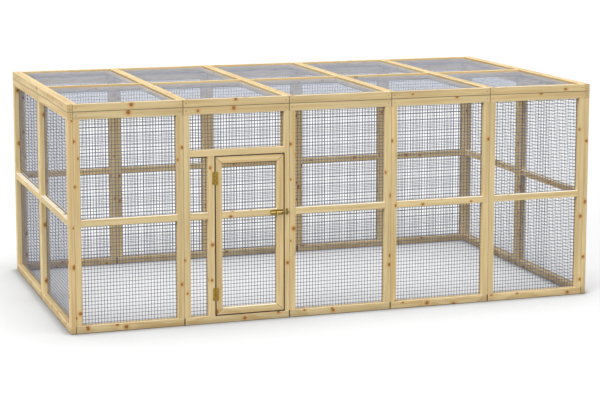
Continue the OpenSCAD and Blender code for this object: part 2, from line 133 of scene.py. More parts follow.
class Graph:
    """Short names for the shader nodes of one tree."""

    def __init__(self, tree):
        self.tree = tree

    def node(self, kind, inputs=None, **settings):
        made = self.tree.nodes.new("ShaderNode" + kind)
        for name, value in settings.items():
            setattr(made, name, value)
        for name, value in (inputs or {}).items():
            self.put(made.inputs[name], value)
        return made

    def put(self, socket, value):
        """Feeds a socket with the output of another node or with a plain value."""
        if isinstance(value, bpy.types.NodeSocket):
            self.tree.links.new(value, socket)
        else:
            socket.default_value = value

    def math(self, operation, *values):
        made = self.node("Math", operation=operation)
        for socket, value in zip(made.inputs, values):
            self.put(socket, value)
        return made.outputs[0]

    def fold(self, operation, first, *others):
        for other in others:
            first = self.math(operation, first, other)
        return first

    def add(self, *values):
        return self.fold("ADD", *values)

    def minus(self, first, second):
        return self.math("SUBTRACT", first, second)

    def times(self, *values):
        return self.fold("MULTIPLY", *values)

    def most(self, *values):
        return self.fold("MAXIMUM", *values)

    def least(self, *values):
        return self.fold("MINIMUM", *values)

    def above(self, value, limit):
        return self.math("GREATER_THAN", value, limit)

    def apart(self, first, second):
        """Distance between two numbers."""
        return self.math("ABSOLUTE", self.minus(first, second))

    def spread(self, value, width, middle=0.0):
        """Turns a number from 0 to 1 into one that lies width about the middle."""
        return self.math("MULTIPLY_ADD", value, width, middle - width / 2)

    def vector(self, operation, *values):
        made = self.node("VectorMath", operation=operation)
        for socket, value in zip(made.inputs, values):
            self.put(socket, value)
        return made.outputs["Value" if operation == "LENGTH" else "Vector"]

    def scale(self, value, factors):
        return self.vector("MULTIPLY", value, factors)

    def join(self, x, y, z):
        return self.node("CombineXYZ", {"X": x, "Y": y, "Z": z}).outputs[0]

    def split(self, value):
        return list(self.node("SeparateXYZ", {"Vector": value}).outputs)

    def noise(self, place, detail=2.0, roughness=0.5):
        """Noise as a number and as a colour. It has about one cycle in a unit of place."""
        return self.node("TexNoise", {"Vector": place, "Scale": 1.0, "Detail": detail,
                                      "Roughness": roughness}).outputs

    def ramp(self, value, low, high, to_low=0.0, to_high=1.0):
        """Smooth step from to_low where value is low to to_high where it is high."""
        made = self.node("MapRange", {"Value": value, "From Min": low, "From Max": high,
                                      "To Min": to_low, "To Max": to_high},
                         interpolation_type="SMOOTHSTEP")
        return made.outputs["Result"]

    def mix(self, factor, first, second, kind="RGBA"):
        """Mixes two values. The Mix node has other sockets for each kind of value."""
        first_socket, second_socket, result = {"RGBA": (6, 7, 2), "VECTOR": (4, 5, 1),
                                               "FLOAT": (2, 3, 0)}[kind]
        made = self.node("Mix", data_type=kind)
        self.put(made.inputs[0], factor)
        self.put(made.inputs[first_socket], first)
        self.put(made.inputs[second_socket], second)
        return made.outputs[result]


def new_material(name):
    made = bpy.data.materials.new(name)
    made.use_nodes = True
    made.node_tree.nodes.clear()
    return made, Graph(made.node_tree)


def finish_material(graph, shader):
    output = graph.node("OutputMaterial")
    graph.put(output.inputs["Surface"], shader)


# Pine

EARLY_WOOD = linear("E4CF9D")
LATE_WOOD = linear("BC985D")
STREAK = linear("D0B480")
KNOT_WOOD = linear("A87238")
KNOT_RIM = linear("6F441B")
KNOT_HALO = linear("D09B52")
END_GRAIN = linear("CCB07D")
# SHADE is the colour of the dark seams and of the painted shade
SHADE = linear("3E2F1A")
# Colour of the painted highlight on upper faces, where the light from above falls
HIGHLIGHT_COLOUR = linear("F8EED6")

# In a pair of limits a ramp begins at the first and is full at the second.

# Knots: spacing of the cells along and across a timber, radii, and how long and bumpy they are.
# The limits are in knot radii.
KNOT_CELL = (0.26, 0.05)
KNOT_R = (0.0055, 0.0125)
KNOT_SQUEEZE = 0.75
KNOT_BUMPS = 0.5
KNOT_INSIDE = (1.12, 0.95)
KNOT_OUTER_RIM = (0.7, 1.0)
KNOT_HEART = (0.55, 0.15)
KNOT_HALO_REACH = (3.0, 0.9)
NO_KNOT = 100.0

# Growth rings: their spacing, how deep the pith lies and how far it strays, in metres, and the
# shares of a ring where the late wood darkens and ends
RING = 0.0042
RING_RISE = (0.25, 0.9)
RING_END = (1.0, 0.92)
PITH_DEPTH = 0.05
PITH_WANDER = 0.05
PITH_SPREAD = 0.06
RING_RIPPLE = 0.003
RING_SWIRL = 0.008
SWIRL_REACH = (4.0, 0.5)
SWIRL_POWER = 2.0

# Noise: cycles in a metre along the timber and across it
KNOT_EDGE_NOISE = (150.0, 150.0, 150.0)
WANDER_NOISE = (0.9, 0.0, 0.0)
RIPPLE_NOISE = (5.0, 30.0, 30.0)
FIBRE_NOISE = (18.0, 900.0, 900.0)
STREAK_NOISE = (1.3, 45.0, 45.0)
PATCH_NOISE = (1.6, 6.0, 6.0)
FIBRE_ROUGHNESS = 0.6

# How far one timber's grain lies from the next one's, and how much the tones differ
SEED_SHIFT = 9.0
SEED_NOISE = (7.0, 7.0, 7.0)
STREAKED = (0.38, 0.66)
PATCHED = (0.3, 0.7)
PATCH_TONE = (0.93, 1.05)
FIBRE_TONE = 0.14
TIMBER_TONE = 0.12
TIMBER_WARMTH = 0.06
LATE_STRENGTH = 0.45
LATE_AT_END = 0.25
END_STRENGTH = 0.6
STREAK_STRENGTH = 0.95
HALO_STRENGTH = 0.7
HEART_STRENGTH = 0.8

# Gloss and relief
WOOD_ROUGHNESS = 0.55
FIBRE_ROUGH = 0.2
KNOT_GLOSS = 0.15
FIBRE_RELIEF = 0.6
RING_RELIEF = 0.5
KNOT_RELIEF = 0.6
WOOD_BUMP = 0.35
WOOD_BUMP_DEPTH = 0.0004
FACING = 0.7


def pine_group():
    """Solid pine. Grain is the place in one timber: x along it, y and z across it, in metres.

    Face is how far the surface faces each of those ways, Seed differs from timber to timber,
    Knot is the distance to the nearest placed knot in knot radii, and Knots is the share of
    cells that hold a further, random knot. Shade darkens the seams and paints shade in the gap
    round the door, on the roof timbers' left and right faces and at the foot of the walls, and
    Highlight paints a highlight on upper faces.
    """
    tree = bpy.data.node_groups.new("pine_wood", "ShaderNodeTree")
    for name, kind in (("Grain", "Vector"), ("Face", "Vector"), ("Seed", "Vector"),
                       ("Knot", "Float"), ("Knots", "Float"), ("Shade", "Float"),
                       ("Highlight", "Float")):
        tree.interface.new_socket(name, in_out="INPUT", socket_type="NodeSocket" + kind)
    for name, kind in (("Color", "Color"), ("Roughness", "Float"), ("Height", "Float")):
        tree.interface.new_socket(name, in_out="OUTPUT", socket_type="NodeSocket" + kind)
    g = Graph(tree)
    given = tree.nodes.new("NodeGroupInput").outputs
    grain, face, seed = given["Grain"], given["Face"], given["Seed"]
    face_x, face_y, face_z = g.split(face)
    seed_x, seed_y, seed_z = g.split(seed)
    along, y, z = g.split(grain)
    along = g.math("MULTIPLY_ADD", seed_x, SEED_SHIFT, along)
    at_end = g.above(face_x, FACING)

    # Random knots, one cell after another along each face
    side = g.above(face_y, face_z)
    on_face = g.mix(side, y, g.add(z, 1.0), "FLOAT")
    cell = g.join(g.math("DIVIDE", along, KNOT_CELL[0]),
                  g.math("DIVIDE", on_face, KNOT_CELL[1]), 0.0)
    cells = g.node("TexVoronoi", {"Vector": cell, "Scale": 1.0}, voronoi_dimensions="2D")
    away = g.scale(g.vector("SUBTRACT", cells.outputs["Position"], cell),
                   (KNOT_CELL[0] * KNOT_SQUEEZE, KNOT_CELL[1], 0.0))
    size, chance, _ = g.split(cells.outputs["Color"])
    radius = g.math("MULTIPLY_ADD", size, KNOT_R[1] - KNOT_R[0], KNOT_R[0])
    absent = g.above(chance, given["Knots"])
    random_knot = g.math("MULTIPLY_ADD", g.most(absent, at_end), NO_KNOT,
                         g.math("DIVIDE", g.vector("LENGTH", away), radius))
    bumpy = g.noise(g.scale(grain, KNOT_EDGE_NOISE), 1.0)[0]
    knot = g.add(g.least(random_knot, given["Knot"]), g.spread(bumpy, KNOT_BUMPS))

    # Growth rings about a pith that wanders and passes round the knots
    drift = g.scale(g.join(along, 0.0, 0.0), WANDER_NOISE)
    slow = g.noise(g.vector("ADD", drift, g.scale(seed, SEED_NOISE)), 1.0)[1]
    slow_x, slow_y, _ = g.split(slow)
    ripple = g.noise(g.scale(grain, RIPPLE_NOISE), 1.0)[0]
    across = g.add(y, g.spread(slow_x, PITH_WANDER), g.spread(seed_y, PITH_SPREAD))
    through = g.add(z, g.spread(slow_y, PITH_WANDER),
                    g.spread(seed_z, PITH_SPREAD, PITH_DEPTH))
    swirl = g.math("POWER", g.ramp(knot, *SWIRL_REACH), SWIRL_POWER)
    ring_at = g.add(g.vector("LENGTH", g.join(across, through, 0.0)),
                    g.times(ripple, RING_RIPPLE), g.times(swirl, RING_SWIRL))
    phase = g.math("FRACT", g.math("DIVIDE", ring_at, RING))
    ring = g.times(g.ramp(phase, *RING_RISE), g.ramp(phase, *RING_END))

    # Fibres, and streaks wide enough to see from afar
    place = g.join(along, y, z)
    fibre = g.noise(g.scale(place, FIBRE_NOISE), 2.0, FIBRE_ROUGHNESS)[0]
    streak = g.noise(g.scale(place, STREAK_NOISE), 3.0, FIBRE_ROUGHNESS)[0]
    patch = g.noise(g.scale(place, PATCH_NOISE), 1.0)[0]

    late = g.times(ring, g.math("MULTIPLY_ADD", at_end, LATE_AT_END, LATE_STRENGTH))
    colour = g.mix(g.ramp(streak, *STREAKED, 0.0, STREAK_STRENGTH), EARLY_WOOD, STREAK)
    colour = g.mix(late, colour, LATE_WOOD)
    colour = g.mix(g.times(at_end, END_STRENGTH), colour, END_GRAIN)
    tone = g.add(g.ramp(patch, *PATCHED, *PATCH_TONE), g.spread(fibre, FIBRE_TONE),
                 g.spread(seed_y, TIMBER_TONE))
    warm = g.spread(seed_z, TIMBER_WARMTH, 1.0)
    colour = g.scale(colour, g.join(tone, g.times(tone, warm), g.times(tone, warm, warm)))
    # Painted highlight on the upper faces
    colour = g.mix(given["Highlight"], colour, HIGHLIGHT_COLOUR)

    # Knots have a halo, dark rims and a dark heart
    halo = g.times(g.ramp(knot, *KNOT_HALO_REACH), HALO_STRENGTH)
    inside = g.ramp(knot, *KNOT_INSIDE)
    rim = g.times(inside, g.ramp(knot, *KNOT_OUTER_RIM))
    heart = g.times(g.ramp(knot, *KNOT_HEART), HEART_STRENGTH)
    colour = g.mix(halo, colour, KNOT_HALO)
    colour = g.mix(inside, colour, KNOT_WOOD)
    colour = g.mix(g.most(rim, heart), colour, KNOT_RIM)
    # Dark seams, and painted shade by the door, on side faces and towards the floor
    colour = g.mix(given["Shade"], colour, SHADE)

    out = tree.nodes.new("NodeGroupOutput").inputs
    g.put(out["Color"], colour)
    g.put(out["Roughness"], g.minus(g.math("MULTIPLY_ADD", fibre, FIBRE_ROUGH, WOOD_ROUGHNESS),
                                    g.times(inside, KNOT_GLOSS)))
    g.put(out["Height"], g.add(g.times(fibre, FIBRE_RELIEF), g.times(ring, RING_RELIEF),
                               g.times(inside, KNOT_RELIEF)))
    return tree


# Which way the grain runs, and which timber a place belongs to. Each layout returns whether
# the timber there crosses the others, two numbers that name the timber, and the distance to
# the nearest seam. With it come the axes along, across and through a crossing timber, and
# those of an upright one.

FAR = 1.0
CROSSING_NAMES = 5.0
MITRE_NARROWING = 1.4
DOOR_EDGE_NARROWING = 1.2
DOOR_EDGE_DEPTH = 0.25


def band(g, value, low, high):
    """1 where value lies between low and high."""
    return g.math("COMPARE", value, (low + high) / 2, (high - low) / 2)


def outside(g, value, low, high):
    return g.minus(1.0, band(g, value, low, high))


def at_mid_rail(g, z):
    return band(g, z, wall_mid - mid_rail_h / 2, wall_mid + mid_rail_h / 2)


def panels_along(g, along, start, pitch):
    """Number of the panel at a place, and the distance into that panel."""
    count = g.math("DIVIDE", g.minus(along, start), pitch)
    number = g.math("FLOOR", count)
    return number, g.times(g.minus(count, number), pitch)


def wall_rails(g, z, into, clear_low, clear_high):
    """Crossing timbers of a wall: the rails at its top and bottom and the one at mid height."""
    return (outside(g, z, rail_h, wall_top - rail_h),
            g.times(at_mid_rail(g, z), band(g, into, clear_low, clear_high)))


def seam_distance(g, into, pitch, z):
    """Distance to a panel's edge or to the line between walls and roof."""
    return g.least(into, g.minus(pitch, into), g.apart(z, wall_top))


def name_timber(g, crossing, level, side):
    """Number of a timber in its panel: its side, or for a crossing timber 5 and its level."""
    return g.math("MULTIPLY_ADD", crossing, CROSSING_NAMES,
                  g.mix(crossing, side, level, "FLOAT"))


def rail_level(g, z):
    """0 at the bottom rails, 1 at mid height and 2 at the top rails."""
    return g.math("ROUND", g.math("DIVIDE", z, wall_mid))


def from_door_edge(g, x, z):
    """How far a place lies inside the door's sides, and inside its top and bottom."""
    return [g.minus(half, g.apart(place, middle))
            for place, middle, half in ((x, door_middle.x, door_half.x),
                                        (z, door_middle.z, door_half.z))]


def long_wall(door_at=None):
    """Front or back wall. door_at is the height where the timbers over a door begin."""
    def layout(g, x, y, z):
        panel, into = panels_along(g, x, wall_left, panel_w)
        rails, middle = wall_rails(g, z, into, stile_w, panel_w - stile_w)
        side = g.above(into, panel_w / 2)
        if door_at:
            here = g.math("COMPARE", panel, door_panel - 1.0, 0.5)
            jamb = g.times(here, band(g, into, jamb_x, jamb_x + jamb_w + stop_reach))
            header = g.times(here, band(g, z, door_at, header_high),
                             band(g, into, stile_w, panel_w - lock_stile_w))
            middle = g.most(g.minus(middle, g.times(middle, jamb)), header)
            side = g.math("MULTIPLY_ADD", jamb, 2.0, side)
        crossing = g.most(rails, middle)
        return (crossing, panel, name_timber(g, crossing, rail_level(g, z), side),
                seam_distance(g, into, panel_w, z))
    return layout, (X, Z, Y), (Z, X, Y)


def end_wall():
    """End wall, whose two panels meet at mid depth."""
    def layout(g, x, y, z):
        into = g.apart(y, mid_y)
        rails, middle = wall_rails(g, z, into, stile_w, depth / 2 - corner_stile_w)
        crossing = g.most(rails, middle)
        side = g.above(into, depth / 4)
        return (crossing, g.above(y, mid_y), name_timber(g, crossing, rail_level(g, z), side),
                seam_distance(g, into, 2 * depth, z))    # no seam but at mid depth
    return layout, (Y, Z, X), (Z, Y, X)


def roof(crossbar=False):
    """Roof frames, or with crossbar the crossbars and the battens under the mesh."""
    def layout(g, x, y, z):
        panel, into = panels_along(g, x, wall_left, panel_w)
        if crossbar:
            end = frame_t + ledger_w
            middle = crossbar_w / 2 + ledger_w + mesh_play
            edge = rafter_w + ledger_w
            crossing = g.times(g.most(band(g, y, mid_y - middle, mid_y + middle),
                                      outside(g, y, front_y + end, back_y - end)),
                               band(g, into, edge, panel_w - edge))
        else:
            crossing = outside(g, y, front_y + frame_t, back_y - frame_t)
        level = g.math("ROUND", g.math("DIVIDE", g.minus(y, front_y), depth / 2))
        timber = name_timber(g, crossing, level, g.above(into, panel_w / 2))
        if crossbar:
            timber = g.add(timber, g.times(g.above(y, mid_y), 2.0))
        return crossing, panel, timber, seam_distance(g, into, panel_w, z)
    return layout, (X, Y, Z), (Y, X, Z)


def along_roof():
    """Rails along the roof's ends, in two lengths that meet at mid depth."""
    def layout(g, x, y, z):
        return (0.0, g.above(y, mid_y), g.above(x, 0.0),
                seam_distance(g, g.apart(y, mid_y), 2 * depth, z))
    return layout, (Y, X, Z), (Y, X, Z)


def door_timber(crossing, number):
    """One timber of the door, with dark lines at its mitres and a line of painted shade at the
    gap round the door.
    """
    def layout(g, x, y, z):
        side, end = from_door_edge(g, x, z)
        mitre = g.times(g.apart(side, end), MITRE_NARROWING)
        # Painted shade of the gap round the door, reaching into the gap
        edge = g.math("MULTIPLY_ADD", g.minus(y, front_y), DOOR_EDGE_DEPTH,
                      g.times(g.least(side, end), DOOR_EDGE_NARROWING))
        return crossing, number, 0.0, g.least(mitre, edge)
    return layout, (X, Z, Y), (Z, X, Y)


def door_battens_layout():
    low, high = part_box("door_battens")

    def layout(g, x, y, z):
        rails = outside(g, z, low.z + door_batten_w, high.z - door_batten_w)
        middle = g.times(at_mid_rail(g, z),
                         band(g, x, low.x + door_batten_w, high.x - door_batten_w))
        crossing = g.most(rails, middle)
        side = g.above(x, (low.x + high.x) / 2)
        return crossing, 0.0, name_timber(g, crossing, rail_level(g, z), side), FAR
    return layout, (X, Z, Y), (Z, X, Y)


# Dark seam lines and painted shade on the timbers. A line is given by the distances where it
# begins and where it is full.

SEAM_LINE = (0.005, 0.001)
FOOT_SEAM_LINE = (0.008, 0.004)
FOOT_SEAM_SHADE = 0.92
# Painted shade of the gap round the door
DOOR_LINE = (0.011, 0.007)
DOOR_LINE_SHADE = 0.95
# Painted contact shadow where a timber stands on the floor, and painted shade reaching up from
# it
FLOOR_LINE = (0.010, 0.003)
FLOOR_LINE_SHADE = 0.85
FOOT_H = 0.085
FOOT_SHADE = 0.32
TOP_RAIL_SHADE = 0.06
SIDEWAYS = 0.8


def wall_shade(g, z):
    """Painted shade towards the floor, with a line of painted contact shadow where a timber
    stands on it, and darker at the top.
    """
    return g.most(g.ramp(z, FOOT_H, 0.0, 0.0, FOOT_SHADE),
                  g.ramp(z, *FLOOR_LINE, 0.0, FLOOR_LINE_SHADE),
                  g.times(g.above(z, wall_top - rail_h), TOP_RAIL_SHADE))


def seam_shade(g, from_seam, strength, z):
    """Dark line at a seam, wider between the bottom rails."""
    foot = g.times(g.ramp(from_seam, *FOOT_SEAM_LINE, 0.0, FOOT_SEAM_SHADE),
                   g.math("LESS_THAN", z, rail_h))
    return g.most(g.times(g.ramp(from_seam, *SEAM_LINE), strength), foot)


def door_shade(g, x, z):
    """Painted shade of the gap: a dark line on the frame round the door."""
    beyond = g.times(g.least(*from_door_edge(g, x, z)), -1.0)
    return g.times(g.ramp(beyond, *DOOR_LINE), DOOR_LINE_SHADE)


def pine(name, plan, seed, knots=(), knot_share=0.45, line=(0.3, 0.85), side_shade=0.0,
         pale=0.0, doorway=False):
    """Material of pine timbers. plan is a layout with its axes, and each group of timbers has
    a seed of its own.

    knots lists the places and radii of knots, and knot_share is the share of cells with random
    ones. line is how dark the seams are along upright and crossing timbers, side_shade how much
    painted shade the faces to the left and right get, and pale how strong the painted highlight
    on the crossing timbers' upper faces is.
    """
    layout, crossing_axes, upright_axes = plan
    made, g = new_material(name)
    coordinates = g.node("TexCoord").outputs
    place = g.split(coordinates["Object"])
    normal = g.split(g.vector("ABSOLUTE", coordinates["Normal"]))
    crossing, panel, timber, from_seam = layout(g, *place)
    strength = g.math("MULTIPLY_ADD", crossing, line[1] - line[0], line[0])
    shade = g.most(seam_shade(g, from_seam, strength, place[Z]), wall_shade(g, place[Z]))
    # Painted shade on the faces to the left and right
    if side_shade:
        shade = g.most(shade, g.times(g.above(normal[X], SIDEWAYS), side_shade))
    # Painted shade of the gap round the door
    if doorway:
        shade = g.most(shade, door_shade(g, place[X], place[Z]))
    # Painted highlight on the crossing timbers' upper faces
    upward = g.above(g.split(coordinates["Normal"])[Z], FACING)
    grain = g.mix(crossing, g.join(*(place[i] for i in upright_axes)),
                  g.join(*(place[i] for i in crossing_axes)), "VECTOR")
    face = g.mix(crossing, g.join(*(normal[i] for i in upright_axes)),
                 g.join(*(normal[i] for i in crossing_axes)), "VECTOR")
    random = g.node("TexWhiteNoise", {"Vector": g.join(panel, timber, seed)}).outputs["Color"]
    nearest = NO_KNOT
    for centre, radius in knots:
        away = g.vector("LENGTH", g.vector("SUBTRACT", coordinates["Object"], centre))
        nearest = g.least(nearest, g.math("DIVIDE", away, radius))
    wood = g.node("Group", node_tree=pine_wood)
    for socket, value in (("Grain", grain), ("Face", face), ("Seed", random),
                          ("Knot", nearest), ("Knots", knot_share), ("Shade", shade),
                          ("Highlight", g.times(upward, crossing, pale))):
        g.put(wood.inputs[socket], value)
    bump = g.node("Bump", {"Height": wood.outputs["Height"], "Strength": WOOD_BUMP,
                           "Distance": WOOD_BUMP_DEPTH})
    shader = g.node("BsdfPrincipled", {"Base Color": wood.outputs["Color"],
                                       "Roughness": wood.outputs["Roughness"],
                                       "Normal": bump.outputs[0]})
    finish_material(g, shader.outputs[0])
    return made


def paint(names, material):
    for name in names:
        for slot in frame["nodes"][name].material_slots:
            slot.material = material


pine_wood = pine_group()

# Knots that the photograph shows: distance from the aviary's left end, height, radius
front_knots = [
    (0.045, 1.590, 0.012), (0.049, 1.220, 0.010), (0.035, 0.565, 0.012), (0.080, 0.170, 0.013),
    (0.042, 0.135, 0.010), (0.957, 0.555, 0.012), (0.948, 1.500, 0.012), (0.905, 1.400, 0.010),
    (1.880, 1.485, 0.012), (1.910, 0.765, 0.014), (1.855, 0.475, 0.012), (1.201, 0.670, 0.012),
    (1.194, 0.370, 0.010), (1.261, 1.165, 0.010), (2.790, 1.470, 0.012), (2.732, 1.200, 0.012),
    (2.777, 0.395, 0.014), (3.692, 1.445, 0.012), (4.568, 1.490, 0.010), (4.639, 1.385, 0.012),
    (4.595, 0.710, 0.014), (4.631, 0.340, 0.012), (4.604, 0.135, 0.012), (0.525, 1.872, 0.014),
    (0.500, 1.810, 0.016), (1.407, 1.885, 0.012), (1.390, 1.810, 0.014), (1.083, 1.798, 0.010),
    (3.390, 1.828, 0.012), (4.187, 1.828, 0.013), (0.460, 0.031, 0.014), (0.140, 0.039, 0.012),
    (1.477, 0.027, 0.012), (2.263, 0.036, 0.012), (3.130, 0.031, 0.014), (4.482, 0.028, 0.012),
]


def knots_between(low, high, bottom=-math.inf, top=math.inf):
    """Front knots between two places along the front and two heights."""
    return [((cad_low.x + x, front_y, z), r) for x, z, r in front_knots
            if low <= cad_low.x + x < high and bottom <= z < top]


# Strength of the painted highlight on upper faces, and of the painted shade on the rafters'
# sides
TOP_HIGHLIGHT = 0.9
ROOF_TOP_HIGHLIGHT = 0.35
RAFTER_SIDE_SHADE = 0.45
DOOR_LINES = (0.9, 0.9)
FRONT_KNOTS, END_KNOTS, ROOF_KNOTS, DOOR_KNOTS = 0.12, 0.2, 0.3, 0.3
for number in range(1, panel_count + 1):
    start = wall_left + (number - 1) * panel_w
    paint([f"front_panel_{number}_frame"],
          pine(f"pine_front_{number}", long_wall(header_low if number == door_panel else None),
               1.0, knots_between(start, start + panel_w, top=wall_top), FRONT_KNOTS,
               pale=TOP_HIGHLIGHT, doorway=number == door_panel))
    paint([f"roof_panel_{number}_frame"],
          pine(f"pine_roof_{number}", roof(), 2.0,
               knots_between(start, start + panel_w, bottom=wall_top), ROOF_KNOTS,
               side_shade=RAFTER_SIDE_SHADE, pale=ROOF_TOP_HIGHLIGHT))
paint([f"back_panel_{n}_frame" for n in range(1, panel_count + 1)],
      pine("pine_back", long_wall(), 3.0, pale=TOP_HIGHLIGHT))
paint(["left_front_panel_frame", "left_back_panel_frame"],
      pine("pine_left", end_wall(), 4.0, knots_between(-math.inf, wall_left), END_KNOTS,
           pale=TOP_HIGHLIGHT))
paint(["right_front_panel_frame", "right_back_panel_frame"],
      pine("pine_right", end_wall(), 5.0, knots_between(-wall_left, math.inf), END_KNOTS,
           pale=TOP_HIGHLIGHT))
paint(["left_roof_rails", "right_roof_rails"], pine("pine_roof_ends", along_roof(), 6.0))
for wall, plan, seed in (("front", long_wall(header_low - stop_reach), 7.0),
                         ("back", long_wall(), 8.0), ("left", end_wall(), 9.0),
                         ("right", end_wall(), 10.0)):
    paint([f"{wall}_wall_battens"], pine(f"battens_{wall}", plan, seed, pale=TOP_HIGHLIGHT))
paint(["roof_mesh_supports"], pine("battens_roof", roof(crossbar=True), 11.0))
for number, name in enumerate(("door_hinge_stile", "door_lock_stile", "door_top_rail",
                               "door_mid_rail", "door_bottom_rail")):
    crossing = 1.0 if name.endswith("rail") else 0.0
    paint([name], pine(f"pine_{name}", door_timber(crossing, number + 1.0), 12.0,
                       knot_share=DOOR_KNOTS, line=DOOR_LINES, pale=TOP_HIGHLIGHT))
paint(["door_battens"], pine("battens_door", door_battens_layout(), 13.0))


# Metals

SPECK_SHARE = 20
METAL_BUMP = 0.15
METAL_BUMP_DEPTH = 0.0001
ROUGH_SPREAD = 0.25
ROUGH_DROP = 0.12
CLOUD_EDGE = (0.35, 0.7)


def metal(name, colour, dull, roughness, clouds=60.0, metallic=1.0):
    """Metal whose tone and gloss vary from place to place, as handled or weathered metal does.

    clouds is the number of cloudy patches in a metre.
    """
    made, g = new_material(name)
    place = g.node("TexCoord").outputs["Object"]
    cloud = g.noise(g.scale(place, (clouds,) * 3), 3.0, 0.6)[0]
    speck = g.noise(g.scale(place, (clouds * SPECK_SHARE,) * 3), 1.0)[0]
    tone = g.mix(g.ramp(cloud, *CLOUD_EDGE), linear(colour), linear(dull))
    rough = g.math("MULTIPLY_ADD", cloud, ROUGH_SPREAD, roughness - ROUGH_DROP)
    bump = g.node("Bump", {"Height": speck, "Strength": METAL_BUMP,
                           "Distance": METAL_BUMP_DEPTH})
    shader = g.node("BsdfPrincipled", {"Base Color": tone, "Metallic": metallic,
                                       "Roughness": rough, "Normal": bump.outputs[0]})
    finish_material(g, shader.outputs[0])
    return made


def zinc(name, colour, dull):
    """Dull zinc of the wires."""
    return metal(name, colour, dull, roughness=0.5, clouds=12.0, metallic=0.3)


brass_plate = metal("brass_plate", "AE9146", "8B7137", 0.34)
olive_brass = metal("olive_brass", "8F7A3C", "6E5C2B", 0.38)
bright_brass = metal("bright_brass", "D8BC74", "B69A58", 0.26)
brass_screw = metal("brass_screw", "9C7D33", "7A6029", 0.4)
wall_zinc = zinc("zinc_wall_wire", "666B80", "555A6E")
end_zinc = zinc("zinc_end_wire", "6A6F82", "585D70")
# The roof's wires are a lighter copy of the same zinc: painted reflection of the sky
sky_lit_roof_zinc = zinc("zinc_roof_wire_sky_lit", "B2B8C6", "A0A6B4")
assembly_screw = metal("assembly_screw", "8A7650", "6A5A3E", 0.45)
paint(["hinge_frame_leaves", "hinge_door_leaves"], brass_plate)
paint(["bolt_plate", "bolt_keeper"], olive_brass)
paint(["hinge_pins", "bolt_rod"], bright_brass)


# Welded mesh with every wire

wall_wire_r = 0.0022
end_wire_r = 0.0011
end_level_wire_r = 0.0017
roof_wire_r = 0.0011
wire_pitch = 0.0263
level_pitch = 0.0300
weld_share = 0.85
wire_sides = 8
wire_edge_angle = math.radians(50)


class Wires:
    """Collects straight round wires and makes one mesh of them."""

    def __init__(self, material, wire_r, cross_r=None):
        """cross_r is the radius of the crossing wires, where it differs."""
        self.material, self.wire_r, self.cross_r = material, wire_r, cross_r or wire_r
        self.points, self.faces = [], []

    def add(self, start, end, wire_r):
        along = (end - start).normalized()
        side = along.orthogonal().normalized()
        other = along.cross(side)
        first = len(self.points)
        for place in (start, end):
            for i in range(wire_sides):
                turn = 2 * math.pi * i / wire_sides
                self.points.append(place + wire_r * (math.cos(turn) * side
                                                     + math.sin(turn) * other))
        ring = range(wire_sides)
        self.faces += [(first + i, first + (i + 1) % wire_sides,
                        first + wire_sides + (i + 1) % wire_sides, first + wire_sides + i)
                       for i in ring]
        self.faces.append([first + i for i in reversed(ring)])
        self.faces.append([first + wire_sides + i for i in ring])

    def sheet(self, low, high, up, across, through, outer_first):
        """Net that fills a box. The wires along the up axis lie next to the frame, and the
        crossing ones are pressed into them at the welds. outer_first says that the frame is
        on the low side of the axis through the net."""
        both = self.wire_r + self.cross_r
        apart = min(both * weld_share, high[through] - low[through] - both)
        near = low[through] + self.wire_r if outer_first else high[through] - self.wire_r
        far = near + apart if outer_first else near - apart
        for run, step, layer, wire_r, pitch in ((up, across, near, self.wire_r, wire_pitch),
                                                (across, up, far, self.cross_r, level_pitch)):
            span = high[step] - low[step] - 2 * wire_r
            count = round(span / pitch)
            for i in range(count + 1):
                start, end = Vector(), Vector()
                start[through] = end[through] = layer
                start[step] = end[step] = low[step] + wire_r + i * span / count
                start[run], end[run] = low[run], high[run]
                self.add(start, end, wire_r)

    def piece(self, name, body, node):
        mesh = bpy.data.meshes.new(name)
        mesh.from_pydata(self.points, [], self.faces)
        mesh.materials.append(self.material)
        mesh.shade_smooth()
        mesh.set_sharp_from_angle(angle=wire_edge_angle)
        made = bpy.data.objects.new(name, mesh)
        bpy.context.scene.collection.objects.link(made)
        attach(made, body)
        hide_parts(node)


def wire_net(node, up, across, through, outer_first, body="aviary"):
    if through == X:
        wires = Wires(end_zinc, end_wire_r, end_level_wire_r)
    else:
        wires = Wires(wall_zinc, wall_wire_r)
    low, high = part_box(node)
    wires.sheet(low, high, up, across, through, outer_first)
    wires.piece(node.replace("_mesh", "_wires"), body, node)


def roof_net(node):
    """Two nets, one on each side of the crossbar."""
    wires = Wires(sky_lit_roof_zinc, roof_wire_r)
    low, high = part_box(node)
    edge = crossbar_w / 2 + mesh_play
    wires.sheet(low, Vector((high.x, mid_y - edge, high.z)), Y, X, Z, True)
    wires.sheet(Vector((low.x, mid_y + edge, low.z)), high, Y, X, Z, True)
    wires.piece(node.replace("_mesh", "_wires"), "aviary", node)


for number in range(1, panel_count + 1):
    if number != door_panel:
        wire_net(f"front_panel_{number}_mesh", Z, X, Y, True)
    wire_net(f"back_panel_{number}_mesh", Z, X, Y, False)
    roof_net(f"roof_panel_{number}_mesh")
for half in ("front", "back"):
    wire_net(f"left_{half}_panel_mesh", Z, Y, X, True)
    wire_net(f"right_{half}_panel_mesh", Z, Y, X, False)
wire_net("door_mesh", Z, X, Y, True, "door")

# The door panel has one net over the header and one beside the door
door_net = Wires(wall_zinc, wall_wire_r)
net_low, net_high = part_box("front_panel_2_mesh")
door_net.sheet(Vector((net_low.x, net_low.y, header_high - mesh_lap)), net_high, Z, X, Y, True)
beside = wall_left + (door_panel - 1) * panel_w + jamb_x + mesh_lap
door_net.sheet(net_low, Vector((beside, net_high.y, header_low + mesh_lap)), Z, X, Y, True)
door_net.piece("front_panel_2_wires", "aviary", "front_panel_2_mesh")


# Screws with cross recesses. Their heads face the front.

